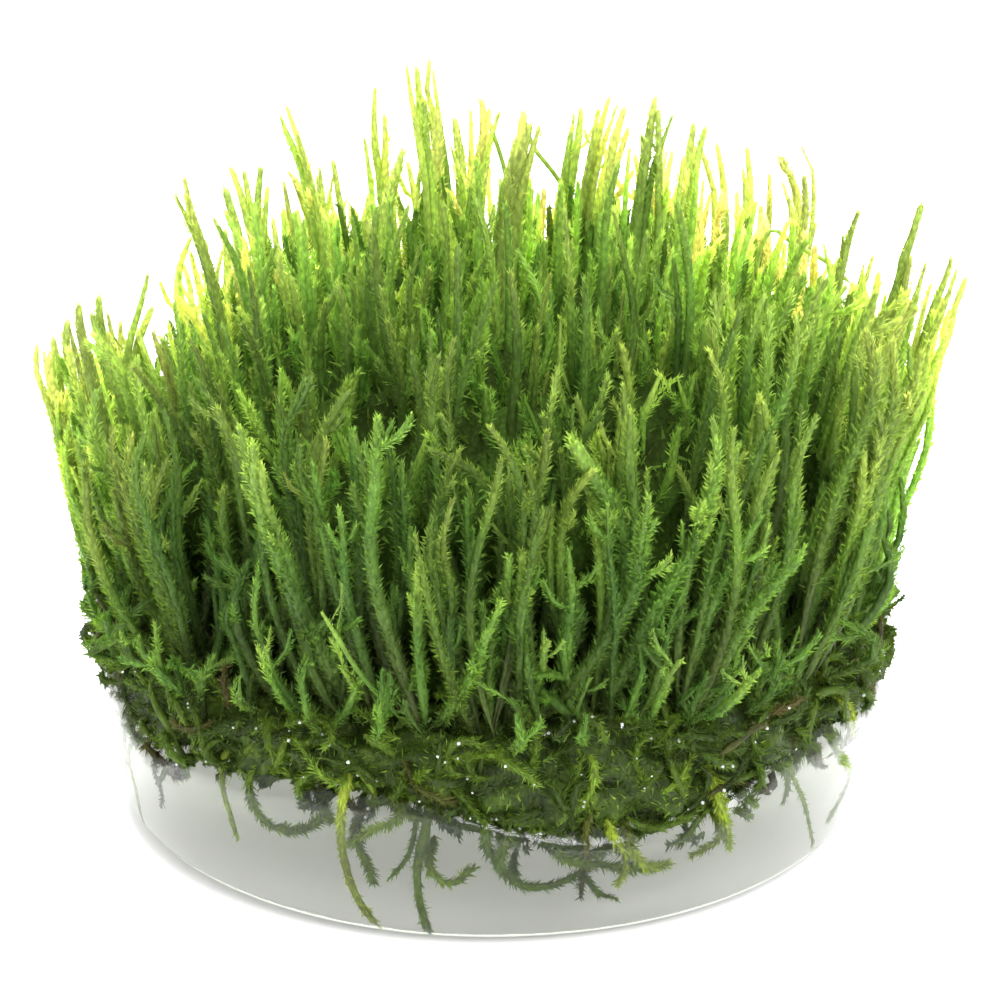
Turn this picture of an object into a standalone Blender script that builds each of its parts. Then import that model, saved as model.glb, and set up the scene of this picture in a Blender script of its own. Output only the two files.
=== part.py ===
"""Moss clump: tufts of upright shoots on a mat of tangled stems, grown in a disc of clear gel.

Metres, +Z up. The origin is the middle of the gel disc's flat underside.
"""

import math
import random

import bmesh
import bpy
from mathutils import Vector, noise

# Gel disc: the shape of the round cup that it set in
GEL_RADIUS = 0.0350  # at the rim
GEL_FOOT_RADIUS = 0.0333  # the cup's draft narrows it towards the foot
GEL_HEIGHT = 0.0176
GEL_FILLET = 0.0042
GEL_SECTORS = 48

# Stem mat: sunk in the top of the gel, and a little proud of it
MAT_RADIUS = 0.0326
MAT_TOP = 0.0190
MAT_BOTTOM = 0.0100
MAT_LUMP = 0.0014  # how far its sides and underside swell and hollow
MAT_FLAT_SHARE = 0.45  # how far out its flat middle reaches
MAT_SECTORS = 28

# Strands: old stems that trail from the mat towards the foot of the gel
STRAND_COUNT = 9
STRAND_RADIUS = 0.0007
STRAND_CIRCLE = 0.0272  # the middle of the ring that they hang in
STRAND_LOWEST = 0.0026
STRAND_SIDES = 5

# Tufts: upright shoots, tallest in the middle, leaning outwards towards the edge
TUFT_COUNT = 40
TUFTS_RADIUS = 0.0342  # outline of all the tufts together, at their feet
TUFT_SHOOTS = 7  # around one more in the middle
GROOVE_SHARE = 0.76  # how far out a groove between two shoots lies, against the shoots' own 1
HEIGHT_MIDDLE = 0.0400
HEIGHT_EDGE = 0.0245
HEIGHT_FALL = 1.2  # how early the dome falls off from the middle: 1 is a plain parabola
HEIGHT_TILT = 0.0042  # the +X edge grew this much taller than the edge on average, and -X shorter
HEIGHT_PATCHES = 0.08  # taller and lower patches, as a share of the height
FRONT_DIP = 0.0045  # how much lower the -Y edge stands than the other edges
FLARE = 7.6  # spread per metre of height above the mat
BODY_SHARE = 0.42  # share of a tuft's height below which its shoots stand too close to part

GAP = 0.0003  # between neighbouring solids
GOLDEN_ANGLE = math.pi * (3 - math.sqrt(5))
SEED = 117


def clear_objects():
    for old in list(bpy.data.objects):
        bpy.data.objects.remove(old)


def material(name, colour, roughness, transmission=0.0):
    made = bpy.data.materials.new(name)
    made.use_nodes = True
    shader = made.node_tree.nodes["Principled BSDF"]
    shader.inputs["Base Color"].default_value = (*colour, 1.0)
    shader.inputs["Roughness"].default_value = roughness
    shader.inputs["Metallic"].default_value = 0.0
    shader.inputs["Transmission Weight"].default_value = transmission
    return made


def object_from(name, mesh_in_progress, finish):
    bmesh.ops.recalc_face_normals(mesh_in_progress, faces=mesh_in_progress.faces)
    mesh = bpy.data.meshes.new(name)
    mesh_in_progress.to_mesh(mesh)
    mesh_in_progress.free()
    mesh.materials.append(finish)
    mesh.shade_smooth()
    mesh.set_sharp_from_angle(angle=math.radians(40))
    made = bpy.data.objects.new(name, mesh)
    bpy.context.scene.collection.objects.link(made)
    return made


def as_cutter(made):
    made.hide_render = True
    made.display_type = "WIRE"
    return made


def boolean(target, tool, operation):
    step = target.modifiers.new(f"{operation.lower()} {tool.name}", "BOOLEAN")
    step.object = tool
    step.operation = operation
    step.solver = "EXACT"


def bridge(bm, lower, upper):
    """Triangles between two rings of the same number of points, split alike in a solid and its pocket."""
    count = len(lower)
    for i in range(count):
        after = (i + 1) % count
        bm.faces.new((lower[i], lower[after], upper[after]))
        bm.faces.new((lower[i], upper[after], upper[i]))


def ring_of(bm, points):
    return [bm.verts.new(p) for p in points]


def turned(profile, sectors, moved=lambda point: point):
    """A solid of revolution from (radius, height) pairs, bottom to top, with moved() applied to each point."""
    bm = bmesh.new()
    rings = []
    for radius, height in profile:
        angles = (2 * math.pi * i / sectors for i in range(sectors))
        points = (Vector((radius * math.cos(a), radius * math.sin(a), height)) for a in angles)
        rings.append(ring_of(bm, (moved(p) for p in points)))
    for lower, upper in zip(rings, rings[1:]):
        bridge(bm, lower, upper)
    bm.faces.new(reversed(rings[0]))
    bm.faces.new(rings[-1])
    return bm


def tube(bm, points, radii, sides):
    """Adds a closed tube through the points to bm."""
    rings = []
    for i, (point, radius) in enumerate(zip(points, radii)):
        ahead = points[min(i + 1, len(points) - 1)] - points[max(i - 1, 0)]
        turn = Vector((0, 0, 1)).rotation_difference(ahead)
        around = (2 * math.pi * k / sides for k in range(sides))
        offsets = (Vector((radius * math.cos(a), radius * math.sin(a), 0)) for a in around)
        rings.append(ring_of(bm, (point + turn @ offset for offset in offsets)))
    for lower, upper in zip(rings, rings[1:]):
        bridge(bm, lower, upper)
    bm.faces.new(reversed(rings[0]))
    bm.faces.new(rings[-1])


# ---------------------------------------------------------------- gel disc


def gel_profile():
    fillet_steps = 4
    corner_radius = GEL_FOOT_RADIUS - GEL_FILLET
    profile = []
    for i in range(fillet_steps + 1):
        angle = math.pi / 2 * i / fillet_steps
        out = corner_radius + GEL_FILLET * math.sin(angle)
        profile.append((out, GEL_FILLET * (1 - math.cos(angle))))
    profile.append((GEL_RADIUS, GEL_HEIGHT))
    return profile


def build_gel(finish, pocket_cutters):
    disc = object_from("gel_disc", turned(gel_profile(), GEL_SECTORS), finish)
    for cutter in pocket_cutters:
        boolean(disc, cutter, "DIFFERENCE")
    return disc


# ---------------------------------------------------------------- stem mat


def lump(point, top):
    """Swells and hollows the mat's sides and underside, and leaves its top and its middle flat."""
    outward = Vector((point.x, point.y, 0))
    flat_radius = MAT_RADIUS * (MAT_FLAT_SHARE + 0.05)
    if point.z > top - 0.0001 or outward.length < flat_radius:
        return point
    wave = MAT_LUMP * noise.noise(point * 110)
    return point + outward.normalized() * wave * 0.5 + Vector((0, 0, wave))


def mat_profile(grown, top):
    """The mat's outline, grown outwards for the pocket that it fits."""
    bottom = MAT_BOTTOM - grown
    middle = (MAT_BOTTOM + MAT_TOP) / 2
    return [
        (MAT_RADIUS * MAT_FLAT_SHARE, bottom - 0.0010),
        (MAT_RADIUS * 0.80, bottom),
        (MAT_RADIUS * 0.93 + grown, MAT_BOTTOM + 0.0014 - grown),
        (MAT_RADIUS * 0.98 + grown, middle),
        (MAT_RADIUS + grown, top),
    ]


def strand_route(index, rng):
    """Leaves the mat's underside and trails down and aside through the gel."""
    angle = 2 * math.pi * (index + rng.uniform(-0.25, 0.25)) / STRAND_COUNT
    radius = STRAND_CIRCLE + rng.uniform(-0.0022, 0.0006)
    drift = rng.uniform(-0.10, 0.10)
    lowest = STRAND_LOWEST + rng.uniform(0.0, 0.0042)
    start = MAT_BOTTOM + 0.0040  # well inside the mat
    steps = 4
    points = []
    for i in range(steps + 1):
        share = i / steps
        bend = angle + drift * share * share
        inset = radius - 0.0016 * share * share
        height = start + (lowest - start) * share
        points.append(Vector((inset * math.cos(bend), inset * math.sin(bend), height)))
    return points


def strands(name, grown, finish):
    """All the strands, or the tunnels that they fit when grown is over 0."""
    rng = random.Random(SEED)
    bm = bmesh.new()
    for index in range(STRAND_COUNT):
        points = strand_route(index, rng)
        points[-1] = points[-1] - Vector((0, 0, grown))
        last = len(points) - 1
        radii = [STRAND_RADIUS * (1.1 - 0.5 * i / last) + grown for i in range(len(points))]
        tube(bm, points, radii, STRAND_SIDES)
    return as_cutter(object_from(name, bm, finish))


def build_mat(finish):
    shape = turned(mat_profile(0, MAT_TOP), MAT_SECTORS, lambda p: lump(p, MAT_TOP))
    mat = object_from("stem_mat", shape, finish)
    boolean(mat, strands("trailing_strands", 0, finish), "UNION")
    return mat


def build_pocket_cutters(finish):
    above_gel = GEL_HEIGHT + 0.004
    pocket = turned(mat_profile(GAP, above_gel), MAT_SECTORS, lambda p: lump(p, above_gel))
    return [
        as_cutter(object_from("mat_pocket", pocket, finish)),
        strands("strand_tunnels", GAP, finish),
    ]


# ---------------------------------------------------------------- tufts


def sunflower(count, radius):
    """Evenly spread points in a circle."""
    for k in range(count):
        out = radius * math.sqrt((k + 0.5) / count)
        yield Vector((out * math.cos(k * GOLDEN_ANGLE), out * math.sin(k * GOLDEN_ANGLE)))


def cut_by_line(outline, point, direction):
    """The part of a convex outline that lies behind the line through point, square to direction."""
    kept = []
    for here, there in zip(outline, outline[1:] + outline[:1]):
        depth_here = (here - point).dot(direction)
        depth_there = (there - point).dot(direction)
        if depth_here <= 0:
            kept.append(here)
        if depth_here * depth_there < 0:
            kept.append(here.lerp(there, depth_here / (depth_here - depth_there)))
    return kept


def cell_around(site, sites):
    """The ground nearer to this site than to any other, less half a gap on each side."""
    rim_points = 36
    turns = (2 * math.pi * i / rim_points for i in range(rim_points))
    outline = [Vector((TUFTS_RADIUS * math.cos(a), TUFTS_RADIUS * math.sin(a))) for a in turns]
    for other in sites:
        if other != site:
            direction = (other - site).normalized()
            outline = cut_by_line(outline, (site + other) / 2 - direction * GAP * 0.7, direction)
    return outline


def even_points(outline, count):
    """The same outline through count points, evenly spaced along it."""
    lengths = [(b - a).length for a, b in zip(outline, outline[1:] + outline[:1])]
    total = sum(lengths)
    points = []
    for i in range(count):
        left = total * i / count
        side = 0
        while left > lengths[side]:
            left -= lengths[side]
            side += 1
        start = outline[side]
        end = outline[(side + 1) % len(outline)]
        points.append(start.lerp(end, left / lengths[side]))
    return points


def growth_height(foot):
    """How tall the moss stands over this point of the mat."""
    share = min(1.0, foot.length / TUFTS_RADIUS)
    dome = HEIGHT_EDGE + (HEIGHT_MIDDLE - HEIGHT_EDGE) * (1 - share**2) ** HEIGHT_FALL
    patch = 1 + HEIGHT_PATCHES * noise.noise(Vector((foot.x, foot.y, 0)) * 90)
    to_front = max(0.0, -foot.y / TUFTS_RADIUS)
    return dome * patch + HEIGHT_TILT * foot.x / TUFTS_RADIUS - FRONT_DIP * to_front**1.5


def grown_to(foot, height):
    """Where a point of the mat's top has spread to at this height above it."""
    spread = 1 + FLARE * height
    return Vector((foot.x * spread, foot.y * spread, MAT_TOP + GAP + height))


def middle_of(points):
    return sum(points, Vector((0, 0))) / len(points)


def add_shoot(bm, base_ring, feet, base_height, rng):
    """One upright shoot: rises from its ring of the tuft's top, narrows, and ends in a point."""
    middle = middle_of(feet)
    tip_height = growth_height(middle) * rng.uniform(0.80, 1.12)
    waist_height = base_height + (tip_height - base_height) * 0.45
    waist = [grown_to(middle.lerp(foot, 0.54), waist_height) for foot in feet]
    waist_ring = ring_of(bm, waist)
    bridge(bm, base_ring, waist_ring)
    reach = min((foot - middle).length for foot in feet) * 0.5
    lean = Vector((rng.uniform(-reach, reach), rng.uniform(-reach, reach)))
    tip = bm.verts.new(grown_to(middle + lean, tip_height))
    for i, vert in enumerate(waist_ring):
        bm.faces.new((vert, waist_ring[(i + 1) % len(waist_ring)], tip))


def build_tuft(name, site, sites, finish, rng):
    """A flaring body of close shoots, grooved between them, that part into separate points above it."""
    around = 2 * TUFT_SHOOTS
    outline = even_points(cell_around(site, sites), around)
    middle = middle_of(outline)
    lobed = [p if i % 2 else middle.lerp(p, GROOVE_SHARE) for i, p in enumerate(outline)]
    inner = [middle.lerp(p, rng.uniform(0.42, 0.52)) for p in lobed[::2]]
    body_height = growth_height(middle) * BODY_SHARE * rng.uniform(0.9, 1.1)
    bm = bmesh.new()
    foot_ring = ring_of(bm, (grown_to(middle.lerp(p, 0.84), 0) for p in lobed))
    swell_ring = ring_of(bm, (grown_to(middle.lerp(p, 0.96), body_height * 0.35) for p in lobed))
    top_ring = ring_of(bm, (grown_to(p, body_height) for p in lobed))
    inner_ring = ring_of(bm, (grown_to(p, body_height) for p in inner))
    bm.faces.new(reversed(foot_ring))
    bridge(bm, foot_ring, swell_ring)
    bridge(bm, swell_ring, top_ring)
    for i in range(TUFT_SHOOTS):
        after = (i + 1) % TUFT_SHOOTS
        corners = [2 * i, 2 * i + 1, (2 * i + 2) % around]
        ring = [top_ring[c] for c in corners] + [inner_ring[after], inner_ring[i]]
        feet = [lobed[c] for c in corners] + [inner[after], inner[i]]
        add_shoot(bm, ring, feet, body_height, rng)
    add_shoot(bm, inner_ring, inner, body_height, rng)
    return object_from(name, bm, finish)


def build_tufts(finish):
    rng = random.Random(SEED)
    sites = list(sunflower(TUFT_COUNT, TUFTS_RADIUS))
    for number, site in enumerate(sites, start=1):
        build_tuft(f"tuft_{number:02d}", site, sites, finish, rng)


def main():
    clear_objects()
    gel = material("gel", (0.80, 0.82, 0.76), 0.08, transmission=0.9)
    old_stems = material("old stems", (0.045, 0.075, 0.022), 0.45)
    shoots = material("leafy shoots", (0.13, 0.30, 0.04), 0.55)
    build_gel(gel, build_pocket_cutters(gel))
    build_mat(old_stems)
    build_tufts(shoots)


main()
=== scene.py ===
"""The looks of the moss clump: leafy shoots, tangled stems and clear gel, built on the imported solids.

Metres, +Z up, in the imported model's own frame. The photograph looks along +Y. Where a name ends in
_PIXEL or _PIXELS, or a list says so, places are pixels of the photograph, 1000 on a side.
"""

import math

import bmesh
import bpy
import numpy as np
from mathutils import Euler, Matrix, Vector, noise


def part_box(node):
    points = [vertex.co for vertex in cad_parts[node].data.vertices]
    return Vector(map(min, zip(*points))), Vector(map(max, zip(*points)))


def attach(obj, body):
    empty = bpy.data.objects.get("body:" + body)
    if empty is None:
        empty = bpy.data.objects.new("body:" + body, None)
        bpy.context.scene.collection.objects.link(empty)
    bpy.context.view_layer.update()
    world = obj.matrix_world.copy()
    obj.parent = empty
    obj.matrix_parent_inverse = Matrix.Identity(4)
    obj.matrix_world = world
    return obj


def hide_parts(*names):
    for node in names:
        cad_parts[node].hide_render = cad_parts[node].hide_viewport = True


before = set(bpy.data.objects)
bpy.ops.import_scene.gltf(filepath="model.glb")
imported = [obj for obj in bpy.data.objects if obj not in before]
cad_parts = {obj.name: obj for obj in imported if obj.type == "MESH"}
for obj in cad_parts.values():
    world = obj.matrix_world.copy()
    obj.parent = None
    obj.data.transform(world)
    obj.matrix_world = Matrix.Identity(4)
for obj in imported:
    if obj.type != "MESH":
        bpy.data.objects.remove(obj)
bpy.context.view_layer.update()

# ---------------------------------------------------------------- sizes read from the frame

MM = 0.001
GEL_LOW, GEL_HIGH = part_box("gel_disc")
GEL_RADIUS = (GEL_HIGH.x - GEL_LOW.x) / 2
GEL_TOP = GEL_HIGH.z
MAT_LOW, MAT_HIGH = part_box("stem_mat")
MAT_RADIUS = (MAT_HIGH.x - MAT_LOW.x) / 2
MAT_TOP = MAT_HIGH.z
TUFTS = sorted(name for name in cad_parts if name.startswith("tuft_"))
FLARE = 7.6  # the tufts' spread per metre of height above the mat
GEL_FOOT_RADIUS = 33.3 * MM
GEL_FILLET = 4.2 * MM
LOWEST_STRAND = 0.9 * MM  # how near the gel's underside a strand hangs

# ---------------------------------------------------------------- small helpers


def rise(value, start, length):
    """0 up to start, then rising to 1 over this length."""
    return np.clip((value - start) / length, 0, 1)


def unit(vectors):
    """Each row, made 1 long."""
    return vectors / np.linalg.norm(vectors, axis=1, keepdims=True)


def level_step(rng, size):
    """A random step to a side, with no rise."""
    return np.append(rng.normal(0, size, 2), 0)


def circle(count):
    """Angles evenly round a circle."""
    return [2 * math.pi * k / count for k in range(count)]


def round_place(out, angle, height=0):
    return np.array([out * math.cos(angle), out * math.sin(angle), height])


def steps(count):
    """Shares from 0 to 1, as a column."""
    return np.linspace(0, 1, count)[:, None]


def add_object(name, data):
    made = bpy.data.objects.new(name, data)
    bpy.context.scene.collection.objects.link(made)
    return made


# ---------------------------------------------------------------- camera, as the photograph's

PHOTO_SIDE = 1000  # pixels
GEL_TOP_MIDDLE_PIXEL = (492, 591)  # where the middle of the gel's top lies in the photograph
CAMERA_DISTANCE = 6 * GEL_RADIUS
CAMERA_ELEVATION = math.radians(20.4)
CAMERA_FOCAL_PIXELS = 2397
SENSOR_WIDTH_MM = 36
NEAR_CLIP = 0.01

CAMERA_PLACE = Vector((
    0,
    -CAMERA_DISTANCE * math.cos(CAMERA_ELEVATION),
    GEL_TOP + CAMERA_DISTANCE * math.sin(CAMERA_ELEVATION),
))
CAMERA_TURN = Euler((
    math.pi / 2 - CAMERA_ELEVATION
    + math.atan((GEL_TOP_MIDDLE_PIXEL[1] - PHOTO_SIDE / 2) / CAMERA_FOCAL_PIXELS),
    0,
    -math.atan((PHOTO_SIDE / 2 - GEL_TOP_MIDDLE_PIXEL[0]) / CAMERA_FOCAL_PIXELS),
))


def build_camera():
    data = bpy.data.cameras.new("camera")
    data.sensor_width = SENSOR_WIDTH_MM
    data.lens = CAMERA_FOCAL_PIXELS / PHOTO_SIDE * SENSOR_WIDTH_MM
    data.clip_start = NEAR_CLIP
    camera = add_object("camera", data)
    camera.location = CAMERA_PLACE
    camera.rotation_euler = CAMERA_TURN
    bpy.context.scene.camera = camera


EYE = np.array(CAMERA_PLACE)
VIEW_AXES = np.array(CAMERA_TURN.to_matrix())  # its columns are the picture's right, up and back


def sight(pixel):
    """The direction in which the camera sees a pixel."""
    across = (pixel[0] - PHOTO_SIDE / 2) / CAMERA_FOCAL_PIXELS
    up = (PHOTO_SIDE / 2 - pixel[1]) / CAMERA_FOCAL_PIXELS
    direction = VIEW_AXES @ np.array([across, up, -1.0])
    return direction / np.linalg.norm(direction)


def pixels_of(points):
    """Where the camera sees these points."""
    seen = (points - EYE) @ VIEW_AXES
    across = PHOTO_SIDE / 2 - CAMERA_FOCAL_PIXELS * seen[:, 0] / seen[:, 2]
    down = PHOTO_SIDE / 2 + CAMERA_FOCAL_PIXELS * seen[:, 1] / seen[:, 2]
    return np.stack([across, down], axis=1)


def seen_at_height(pixel, height):
    direction = sight(pixel)
    return EYE + direction * (height - EYE[2]) / direction[2]


def seen_at_depth(pixel, depth):
    direction = sight(pixel)
    return EYE + direction * (depth - EYE[1]) / direction[1]


def seen_near(pixel, place):
    """The point in this pixel's sight that is nearest to place."""
    direction = sight(pixel)
    return EYE + direction * np.dot(place - EYE, direction)


def gel_wall(height):
    """How far the gel's wall is from its middle at this height."""
    if height < GEL_FILLET:
        down = GEL_FILLET - max(0.0, height)
        return GEL_FOOT_RADIUS - GEL_FILLET + math.sqrt(GEL_FILLET**2 - down**2)
    share = min(1.0, (height - GEL_FILLET) / (GEL_TOP - GEL_FILLET))
    return GEL_FOOT_RADIUS + (GEL_RADIUS - GEL_FOOT_RADIUS) * share


def seen_in_wall(pixel, depth):
    """The near point seen in this pixel at this depth behind the gel's wall."""
    direction = sight(pixel)
    a = direction[0] ** 2 + direction[1] ** 2
    b = EYE[0] * direction[0] + EYE[1] * direction[1]
    point = np.array([0, 0, GEL_TOP / 2])
    for _ in range(4):  # the wall tapers, so its radius follows from the height found before
        radius = gel_wall(point[2]) - depth
        c = EYE[0] ** 2 + EYE[1] ** 2 - radius**2
        point = EYE + direction * (-b - math.sqrt(max(0.0, b * b - a * c))) / a
        if point[2] < LOWEST_STRAND:
            return seen_at_height(pixel, LOWEST_STRAND)
    return point


# ---------------------------------------------------------------- colours


def linear(*colours):
    """Colours seen on screen (0 to 255) as the linear values that shaders take."""
    screen = np.array(colours) / 255
    return np.where(screen <= 0.04045, screen / 12.92, ((screen + 0.055) / 1.055) ** 2.4)


# the older a part of a shoot, the browner and darker: from its foot, 0, to a young tip, 1
AGE_STEPS = np.array([0.0, 0.2, 0.45, 0.72, 1.0])
DEEP_GREENS = linear((80, 84, 46), (82, 108, 48), (92, 136, 52), (134, 172, 72), (176, 198, 106))
YELLOW_GREENS = linear((92, 90, 50), (98, 122, 52), (120, 158, 58), (170, 188, 88), (206, 208, 130))
BARE_STEM = linear((158, 186, 84))

# from the tangle's darkest stems to its freshest
TANGLE_STEPS = np.array([0.0, 0.35, 0.7, 1.0])
TANGLE_COLOURS = linear((38, 48, 18), (64, 86, 28), (102, 130, 40), (158, 176, 62))
OLD_BROWN = linear((74, 66, 34))[0]


def ramp(values, steps, colours):
    return np.stack([np.interp(values, steps, colours[:, channel]) for channel in range(3)], axis=-1)


def shoot_colour(age, tone):
    """tone runs from deep green, 0, to yellow-green, 1."""
    age = np.clip(age, 0, 1)
    deep = ramp(age, AGE_STEPS, DEEP_GREENS)
    return deep + (ramp(age, AGE_STEPS, YELLOW_GREENS) - deep) * np.clip(tone, 0, 1)[..., None]


def patches(points, size):
    """Smooth noise, about -0.6 to 0.6, whose patches are of this size."""
    return np.array([noise.noise(Vector(point) / size) for point in points])


# ---------------------------------------------------------------- meshes from many small faces


class Growth:
    """Gathers the triangles of many stems and leaves, and joins them into one mesh."""

    def __init__(self):
        self.points = []
        self.triangles = []
        self.colours = []
        self.count = 0

    def add(self, points, triangles, colours):
        self.points.append(points.reshape(-1, 3))
        self.triangles.append(triangles.reshape(-1, 3) + self.count)
        self.colours.append(colours.reshape(-1, 3))
        self.count += len(self.points[-1])

    def build(self, name, finish):
        mesh = bpy.data.meshes.new(name)
        mesh.from_pydata(np.concatenate(self.points), [], np.concatenate(self.triangles))
        colours = np.concatenate(self.colours)
        with_alpha = np.concatenate([colours, np.ones((len(colours), 1))], axis=1)
        tint = mesh.color_attributes.new("tint", "FLOAT_COLOR", "POINT")
        tint.data.foreach_set("color", with_alpha.astype(np.float32).ravel())
        mesh.materials.append(finish)
        mesh.validate()
        mesh.shade_smooth()
        return add_object(name, mesh)


ACROSS_ALL = [0.31, 0.95, 0.05]  # a direction that no stem starts in


class Axis:
    """A smooth line that a stem follows, with two sides square to it all along."""

    def __init__(self, points):
        self.points = points
        steps = np.linalg.norm(np.diff(points, axis=0), axis=1)
        self.along = np.concatenate([[0], np.cumsum(steps)])
        self.length = self.along[-1]
        self.ahead = unit(np.gradient(points, self.along, axis=0))
        side = np.cross(self.ahead[0], ACROSS_ALL)
        sides = []
        for direction in self.ahead:
            side = side - direction * np.dot(side, direction)
            side = side / np.linalg.norm(side)
            sides.append(side)
        self.side = np.array(sides)

    def at(self, distances):
        """Points, directions, and two sides square to them, at distances along the line."""
        def read(table):
            return np.stack([np.interp(distances, self.along, table[:, k]) for k in range(3)], axis=-1)

        ahead = unit(read(self.ahead))
        side = unit(read(self.side))
        return read(self.points), ahead, side, np.cross(ahead, side)

    def place(self, share):
        """The point, direction and sides at one share of the length."""
        return (part[0] for part in self.at(np.array([share * self.length])))


def curve_through(points, count):
    """A smooth line through a few given points, with count points to each stretch."""
    points = np.array(points, dtype=float)
    gaps = np.linalg.norm(np.diff(points, axis=0), axis=1)
    slopes = np.diff(points, axis=0) / gaps[:, None]
    before, after = gaps[:-1, None], gaps[1:, None]
    middle = (slopes[:-1] * after + slopes[1:] * before) / (before + after)
    ahead = np.concatenate([slopes[:1], middle, slopes[-1:]])
    line = []
    for i, gap in enumerate(gaps):
        t = np.linspace(0, 1, count, endpoint=i == len(gaps) - 1)[:, None]
        line.append(
            points[i] * (2 * t**3 - 3 * t**2 + 1) + points[i + 1] * (3 * t**2 - 2 * t**3)
            + gap * (ahead[i] * (t**3 - 2 * t**2 + t) + ahead[i + 1] * (t**3 - t**2))
        )
    return np.concatenate(line)


def add_tube(growth, axis, shares, sides, radii, colours):
    """A tube with a ring at each of these shares of the axis, closed to a point at both ends."""
    point, _, side, other = axis.at(shares * axis.length)
    turn = 2 * math.pi * np.arange(sides) / sides
    ring = side[:, None] * np.cos(turn)[None, :, None] + other[:, None] * np.sin(turn)[None, :, None]
    rings = point[:, None] + ring * radii[:, None, None]
    rings[0] = point[0]
    rings[-1] = point[-1]
    row = np.arange(len(shares) - 1)[:, None] * sides
    here = row + np.arange(sides)
    after = row + (np.arange(sides) + 1) % sides
    lower = np.stack([here, after, after + sides], axis=-1)[1:].reshape(-1, 3)
    upper = np.stack([here, after + sides, here + sides], axis=-1)[:-1].reshape(-1, 3)
    growth.add(rings, np.concatenate([lower, upper]), np.repeat(colours, sides, axis=0))


GOLDEN_ANGLE = math.pi * (3 - math.sqrt(5))
# how much leaves stray, in radians: round the stem, out from it, about themselves and to a side
TURN_STRAY, LEAN_STRAY, TWIST_STRAY, SWAY_STRAY = 0.4, 0.16, 0.5, 0.25
WAIST = 0.42  # where along a keeled leaf it is widest
# painted shade at each leaf's foot, where it meets the stem, and painted light at its tip
KEELED_SHADES = np.array([0.92, 0.98, 0.98, 1.06])[:, None]  # foot, sides and tip of each leaf
PLAIN_SHADES = np.array([0.96, 0.96, 1.06])[:, None]  # both corners of its foot, and its tip


def add_leaves(growth, axis, distances, length, width, angle, foot_offset, colours, rng, keeled):
    """Pointed leaves set spirally round the axis, of two triangles where keeled or else of one."""
    count = len(distances)
    point, ahead, side, other = axis.at(distances)
    turn = np.arange(count) * GOLDEN_ANGLE + rng.normal(0, TURN_STRAY, count)
    outward = side * np.cos(turn)[:, None] + other * np.sin(turn)[:, None]
    across = np.cross(ahead, outward)
    lean = (angle + rng.normal(0, LEAN_STRAY, count))[:, None]
    along = ahead * np.cos(lean) + outward * np.sin(lean)
    underside = outward * np.cos(lean) - ahead * np.sin(lean)
    twist = rng.normal(0, TWIST_STRAY, count)[:, None]
    across = across * np.cos(twist) + underside * np.sin(twist)
    along = along + across * rng.normal(0, SWAY_STRAY, count)[:, None]
    length = length[:, None]
    width = width[:, None]
    foot = point + outward * foot_offset[:, None]
    tip = foot + along * length
    widest = foot + along * length * WAIST - underside * width * 0.25 if keeled else foot
    corners = [widest - across * width / 2, widest + across * width / 2, tip]
    if keeled:
        corners.insert(0, foot)
    order = [[0, 1, 3], [0, 3, 2]] if keeled else [[0, 1, 2]]
    shades = KEELED_SHADES if keeled else PLAIN_SHADES
    first = np.arange(count)[:, None] * len(corners)
    triangles = np.concatenate([first + corner_order for corner_order in order], axis=1)
    growth.add(np.stack(corners, axis=1), triangles, colours[:, None] * shades)


# ---------------------------------------------------------------- leafy shoots

BODY_RADIUS = 0.39 * MM  # of a middling shoot: its stem and the leaves pressed to it
BODY_SHADE = 0.84  # the pressed leaves lie in the shade of those that stand out
TUBE_STEP = 2.0 * MM  # between the body's rings, with five sides
HIDDEN_STEP = 9.0 * MM
LEAVES_PER_METRE = 27000
LEAF_LENGTH = 0.64 * MM
TIGHT_ANGLE = math.radians(16)
OPEN_ANGLE = math.radians(45)
AGE_FALL = 22  # how much older a shoot is, per metre below its tip
FOOT_AGE = 0.10
FOOT_DEPTH = 1.2 * MM  # how far below the mat's top a shoot starts
PATCH_SIZE = 3.2 * MM  # of lighter and darker growth
LIGHTEST = 0.9  # that a leaf may be, in linear light
FOOT_SUNK = 0.7  # a leaf's foot lies at this share of its stem's radius


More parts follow.
